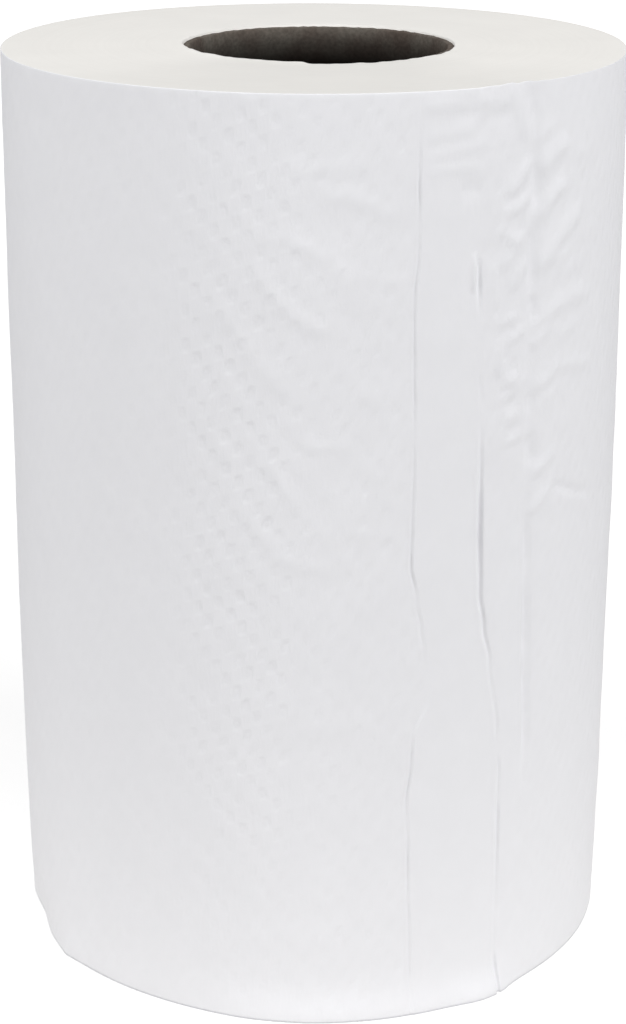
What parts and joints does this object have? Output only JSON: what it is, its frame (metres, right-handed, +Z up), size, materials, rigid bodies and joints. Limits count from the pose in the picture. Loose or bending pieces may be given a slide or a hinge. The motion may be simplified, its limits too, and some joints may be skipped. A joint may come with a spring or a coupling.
{
  "type": "paper towel roll",
  "caption": "Plain white embossed hand-towel roll, hard wound on a grey-brown paperboard tube and standing on its end, with its loose tail lying against the side.",
  "frame": {"origin": "middle of the roll's lower end, on the surface it stands on", "axes": "+Z up along the roll; -Y is the front, and the tail's cut edges lie to the right of the front, towards +X"},
  "size_m": [0.1348, 0.1346, 0.2],
  "materials": {
    "towel_paper": "matte, finely embossed, soft",
    "core_board": "matte, unprinted grey-brown board"
  },
  "bodies": {
    "root": {"wound_paper": "towel_paper", "core_tube": "core_board"}
  },
  "joints": []
}
